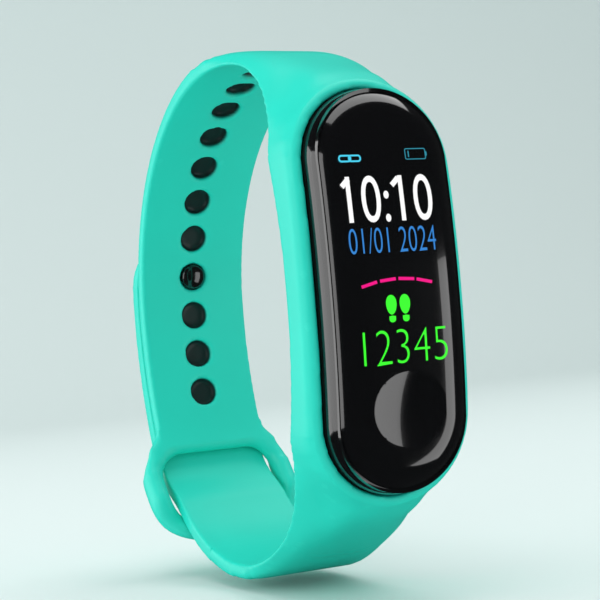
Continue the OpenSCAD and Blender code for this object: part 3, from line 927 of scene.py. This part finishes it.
def flat_box(bm, x, z, width, height, corner=0.0, line=0.0, turn=0.0):
    """A flat rectangle, with round corners, or only its line"""
    made = bmesh.ops.create_grid(bm, x_segments=1, y_segments=1, size=0.5,
                                 matrix=Matrix.Rotation(math.pi / 2, 4, "X"))
    verts = made["verts"]
    for vert in verts:
        vert.co = Vector((vert.co.x * width, 0, vert.co.z * height))
    if corner:
        made = bmesh.ops.bevel(bm, geom=verts, offset=corner, offset_type="OFFSET", affect="VERTICES",
                               segments=6, profile=0.5, material=-1)
        verts = list({v for face in made["faces"] for v in face.verts} | set(made["verts"]))
    if line:
        faces = list({f for v in verts for f in v.link_faces})
        bmesh.ops.inset_region(bm, faces=faces, thickness=line, use_even_offset=True, use_boundary=True)
        verts = list({v for f in faces for e in f.edges for v in e.verts} | {v for v in verts if v.is_valid})
        bmesh.ops.delete(bm, geom=faces, context="FACES_ONLY")
    spot = Matrix.Translation((x, 0, z)) @ Matrix.Rotation(turn, 4, "Y")
    bmesh.ops.transform(bm, matrix=spot, verts=verts)


def lay_on_cover(name, bm, material, c, b, lift=0.012, thick=0.03, step=0.6):
    """Gives flat shapes a small thickness and lays them on the cover's curved front"""
    edges = [e for e in bm.edges if e.is_wire]
    bmesh.ops.delete(bm, geom=edges, context="EDGES")
    bmesh.ops.recalc_face_normals(bm, faces=bm.faces)
    made = bmesh.ops.extrude_face_region(bm, geom=list(bm.faces))["geom"]
    bmesh.ops.translate(bm, vec=(0, -thick, 0), verts=[g for g in made if isinstance(g, bmesh.types.BMVert)])
    zs = [v.co.z for v in bm.verts]
    z = math.floor(min(zs) / step) * step
    while z < max(zs):
        bmesh.ops.bisect_plane(bm, geom=bm.verts[:] + bm.edges[:] + bm.faces[:], dist=1e-6, plane_co=(0, 0, z),
                               plane_no=(0, 0, 1))
        z += step
    front = cover_depth(c, b)
    for vert in bm.verts:
        vert.co.y += front(vert.co.z) + thick - lift
    bmesh.ops.scale(bm, vec=(MM, MM, MM), verts=bm.verts)
    bmesh.ops.recalc_face_normals(bm, faces=bm.faces)
    piece = new_piece(name, bm, material, smooth=False)
    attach(piece, "capsule")
    return piece


class BAND_OT_display(Operator):
    """Lays the lit signs of the display on the cover: time, date, arc, steps and two small signs"""
    bl_idname = "band.display"
    bl_label = "Lit display"

    def execute(self, context):
        b, c, _, f, _ = sizes()
        off = -0.75
        bm = bmesh.new()
        flat_text(bm, "10:10", off - 5.3, off + 5.7, 7.55, 12.85, 0.0)
        for x in (-5.35, 1.05):
            flat_box(bm, off + x, 12.1, 1.25, 0.62, turn=-0.75)
        lay_on_cover("lit_time", bm, lit("lit_white", f.white, f.glow), c, b)
        bm = bmesh.new()
        flat_text(bm, "01/01 2024", off - 5.65, off + 5.6, 4.1, 6.95, -0.012)
        lay_on_cover("lit_date", bm, lit("lit_blue", f.blue, f.glow * 1.05), c, b)
        bm = bmesh.new()
        flat_text(bm, "12345", off - 4.9, off + 6.0, -8.45, -4.55, -0.022)
        for x in (-0.93, 0.83):
            flat_round(bm, off + x - 0.05, -1.75, 1.35, 2.2, egg=0.25)
            flat_round(bm, off + x, -3.35, 0.85, 0.75)
            flat_box(bm, off + x, -3.2, 0.84, 0.36)
        lay_on_cover("lit_steps", bm, lit("lit_green", f.green, f.glow * 1.1), c, b)
        bm = bmesh.new()
        for x in (-0.62, 0.62):
            flat_box(bm, off - 4.35 + x, 14.85, 1.65, 0.85, corner=0.4, line=0.2)
        lay_on_cover("lit_link", bm, lit("lit_cyan", f.cyan, f.glow), c, b)
        bm = bmesh.new()
        flat_box(bm, off + 4.2, 15.2, 2.75, 1.3, corner=0.22, line=0.1)
        flat_box(bm, off + 3.3, 15.2, 0.13, 0.72)
        flat_box(bm, off + 5.66, 15.2, 0.13, 0.5)
        lay_on_cover("lit_battery", bm, lit("lit_dim_cyan", tuple(v * 0.45 for v in f.cyan), f.glow), c, b)
        bm = bmesh.new()
        reach = 16.0
        for turn in (-0.235, -0.082, 0.068, 0.215):
            x, z = off + 0.15 + reach * math.sin(turn), 1.1 - reach * (1 - math.cos(turn))
            flat_box(bm, x, z, 2.05, 0.36, turn=turn)
        lay_on_cover("lit_arc", bm, lit("lit_pink", f.pink, f.glow * 1.05), c, b)
        return {"FINISHED"}


# ---------------------------------------------------------------- finishes of the parts inside

class BAND_OT_inner_finishes(Operator):
    """Gives every part inside the capsule, and the stud's plate, its own finish"""
    bl_idname = "band.inner_finishes"
    bl_label = "Inner finishes"

    def execute(self, context):
        board = moulded("board_green", (0.01, 0.09, 0.03), roughness=0.35, grain=1800.0, wear=0.2,
                        Coat_Weight=0.4)
        chip = moulded("chip_resin", (0.018, 0.018, 0.02), roughness=0.5, grain=4000.0, deep=0.00003, wear=0.2)
        steel = metal("bright_steel", (0.62, 0.62, 0.64), 0.26)
        gold = metal("gold_plate", (0.93, 0.66, 0.24), 0.2, 2000.0)
        copper = metal("copper_foil", (0.86, 0.44, 0.26), 0.3, 1500.0)
        ceramic = moulded("ceramic_tan", (0.55, 0.45, 0.30), roughness=0.4, grain=3000.0)
        emitter = moulded("emitter_lens", (0.25, 0.62, 0.22), roughness=0.12, grain=1500.0, Coat_Weight=1.0)
        finishes = {
            moulded("gasket_rubber", (0.012, 0.014, 0.015), roughness=0.6, grain=2500.0): ["seal_gasket"],
            moulded("frame_satin_black", (0.005, 0.005, 0.005), roughness=0.5, wear=0.1): ["mid_frame"],
            moulded("display_stack", (0.02, 0.022, 0.03), roughness=0.08, grain=600.0,
                    Coat_Weight=1.0): ["display_glass"],
            moulded("backlight_white", (0.8, 0.8, 0.78), roughness=0.35, grain=2000.0): ["display_backlight"],
            moulded("flex_amber", (0.55, 0.22, 0.03), roughness=0.3, grain=1500.0,
                    Coat_Weight=0.5): ["display_flex"],
            moulded("socket_ivory", (0.72, 0.66, 0.5), roughness=0.45, wear=0.2): ["display_connector"],
            moulded("motor_nylon", (0.75, 0.73, 0.66), roughness=0.5, wear=0.2): ["motor_endcap"],
            moulded("cradle_rubber", (0.02, 0.02, 0.022), roughness=0.65): ["motor_cradle", "hr_barrier"],
            moulded("diode_glass", (0.02, 0.03, 0.12), roughness=0.1, grain=900.0,
                    Coat_Weight=1.0): ["hr_photodiode"],
            metal("winding_copper", (0.72, 0.34, 0.18), 0.35, 3000.0): ["motor_rotor"],
            metal("dense_tungsten", (0.38, 0.36, 0.34), 0.4, 900.0): ["motor_weight"],
            metal("pouch_foil", (0.66, 0.67, 0.70), 0.38, 500.0): ["battery"],
            metal("nickel_strip", (0.66, 0.62, 0.55), 0.3): ["battery_tabs"],
            board: ["main_pcb", "battery_board", "hr_board"],
            chip: ["processor", "flash_memory", "motion_sensor", "charge_chip"],
            steel: ["stud_plate", "crystal", "motor_can", "motor_shaft"],
            gold: ["touch_spring", "contact_left", "contact_right"],
            copper: ["touch_pad"],
            ceramic: ["antenna", "passives"],
            emitter: ["hr_led_left", "hr_led_right"],
        }
        for material, nodes in finishes.items():
            for node in nodes:
                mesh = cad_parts[node].data
                mesh.materials.clear()
                mesh.materials.append(material)
        return {"FINISHED"}


# ---------------------------------------------------------------- stage

def soft_light(name, place, aim, wide, tall, power):
    """A white panel that lights the object, and that the camera doesn't see"""
    data = bpy.data.lights.new(name, "AREA")
    data.shape, data.size, data.size_y, data.energy = "RECTANGLE", wide, tall, power
    lamp = bpy.data.objects.new(name, data)
    lamp.location = place
    lamp.visible_camera = False
    lamp.rotation_euler = (Vector(aim) - Vector(place)).to_track_quat("-Z", "Y").to_euler()
    bpy.context.scene.collection.objects.link(lamp)


class BAND_OT_stage(Operator):
    """Sets the pale floor, the soft studio lights and the camera"""
    bl_idname = "band.stage"
    bl_label = "Stage"

    def execute(self, context):
        _, _, _, _, s = sizes()
        scene = context.scene
        bm = bmesh.new()
        low, bend, back = -s.floor_drop, 0.4, 0.5
        turns = [math.pi * i / 24 for i in range(1, 13)]
        sweep_up = [(back + bend * math.sin(a), low + bend * (1 - math.cos(a))) for a in turns]
        profile = [(-4.0, low), (back, low)] + sweep_up + [(0.9, 2.2)]
        verts = [bm.verts.new((-4.0, y, z)) for y, z in profile]
        edges = [bm.edges.new(pair) for pair in zip(verts, verts[1:])]
        made = bmesh.ops.extrude_edge_only(bm, edges=edges)["geom"]
        bmesh.ops.translate(bm, vec=(8, 0, 0), verts=[g for g in made if isinstance(g, bmesh.types.BMVert)])
        bmesh.ops.recalc_face_normals(bm, faces=bm.faces)
        material, tree, shader = bare_material("pale_floor", Roughness=0.9)
        cloud = noise(tree, tree.nodes["Object place"].outputs["Object"], 3.0, 2)
        colour = tuple(s.floor)
        link(tree, blended(tree, cloud, tuple(c * 0.985 for c in colour), colour), shader.inputs["Base Color"])
        floor = new_piece("floor", bm, material)
        floor.visible_glossy = False

        world = bpy.data.worlds.new("studio")
        world.use_nodes = True
        air = world.node_tree
        ray = air.nodes.new("ShaderNodeLightPath")
        bright, darker_in_gloss = 0.76, 0.74
        darker = maths(air, "MULTIPLY", ray.outputs["Is Glossy Ray"], darker_in_gloss)
        dim = maths(air, "SUBTRACT", bright, darker)
        air.nodes["Background"].inputs["Color"].default_value = (0.93, 0.98, 0.98, 1)
        link(air, dim, air.nodes["Background"].inputs["Strength"])
        scene.world = world
        scene.view_settings.view_transform = "Standard"
        away, height = 0.6, 0.06
        for name, way in (("left_panel", 83), ("rear_left_panel", 131)):
            angle = math.radians(way)
            place = (-away * math.sin(angle), -away * math.cos(angle), height)
            soft_light(name, place, (0, 0, 0.02), 0.54, 0.5, 1.6)
        soft_light("top_panel", (0.13, 0.02, 0.62), (0.04, 0, 0), 0.44, 0.95, 2.3)
        soft_light("low_card", (0.1084, -0.1228, -0.051), (0, -0.034, -0.051), 0.072, 0.128, 0.053)

        level = math.cos(s.tilt)
        ahead = Vector((math.sin(s.turn) * level, math.cos(s.turn) * level, math.sin(s.tilt)))
        side = Vector((math.cos(s.turn), -math.sin(s.turn), 0))
        up = side.cross(ahead)
        right = side * math.cos(s.lean) + up * math.sin(s.lean)
        over = up * math.cos(s.lean) - side * math.sin(s.lean)
        place = -ahead * s.back + right * s.shift[0] + over * s.shift[1]
        lens = bpy.data.cameras.new("camera")
        lens.lens, lens.sensor_width, lens.clip_start, lens.clip_end = s.lens, 36, 0.01, 20
        camera = bpy.data.objects.new("camera", lens)
        camera.matrix_world = Matrix((
            (right.x, over.x, -ahead.x, place.x), (right.y, over.y, -ahead.y, place.y),
            (right.z, over.z, -ahead.z, place.z), (0, 0, 0, 1)))
        scene.collection.objects.link(camera)
        scene.camera = camera
        return {"FINISHED"}


# ---------------------------------------------------------------- panel and registration

OPERATORS = (BAND_OT_holder_strap, BAND_OT_stud, BAND_OT_capsule, BAND_OT_display, BAND_OT_inner_finishes,
             BAND_OT_stage)
GROUPS = {"band_sizes": BandSizes, "capsule_sizes": CapsuleSizes, "stud_sizes": StudSizes, "finishes": Finishes,
          "stage_settings": StageSettings}


class BAND_PT_build(Panel):
    """Lists the band's pieces and the sizes and colours that they are built from"""
    bl_idname = "BAND_PT_build"
    bl_label = "Fitness tracker band"
    bl_space_type = "VIEW_3D"
    bl_region_type = "UI"
    bl_category = "Band"

    def draw(self, context):
        for operator in OPERATORS:
            self.layout.operator(operator.bl_idname)
        for name in GROUPS:
            settings = getattr(context.scene, name)
            box = self.layout.box()
            for prop in settings.bl_rna.properties:
                if prop.identifier not in ("name", "rna_type"):
                    box.prop(settings, prop.identifier)


def register():
    for cls in (*GROUPS.values(), *OPERATORS, BAND_PT_build):
        bpy.utils.register_class(cls)
    for name, group in GROUPS.items():
        setattr(bpy.types.Scene, name, PointerProperty(type=group))


def unregister():
    for name in GROUPS:
        delattr(bpy.types.Scene, name)
    for cls in reversed((*GROUPS.values(), *OPERATORS, BAND_PT_build)):
        bpy.utils.unregister_class(cls)


def main():
    register()
    bpy.ops.band.holder_strap()
    bpy.ops.band.stud()
    bpy.ops.band.capsule()
    bpy.ops.band.display()
    bpy.ops.band.inner_finishes()
    bpy.ops.band.stage()


if __name__ == "__main__":
    main()
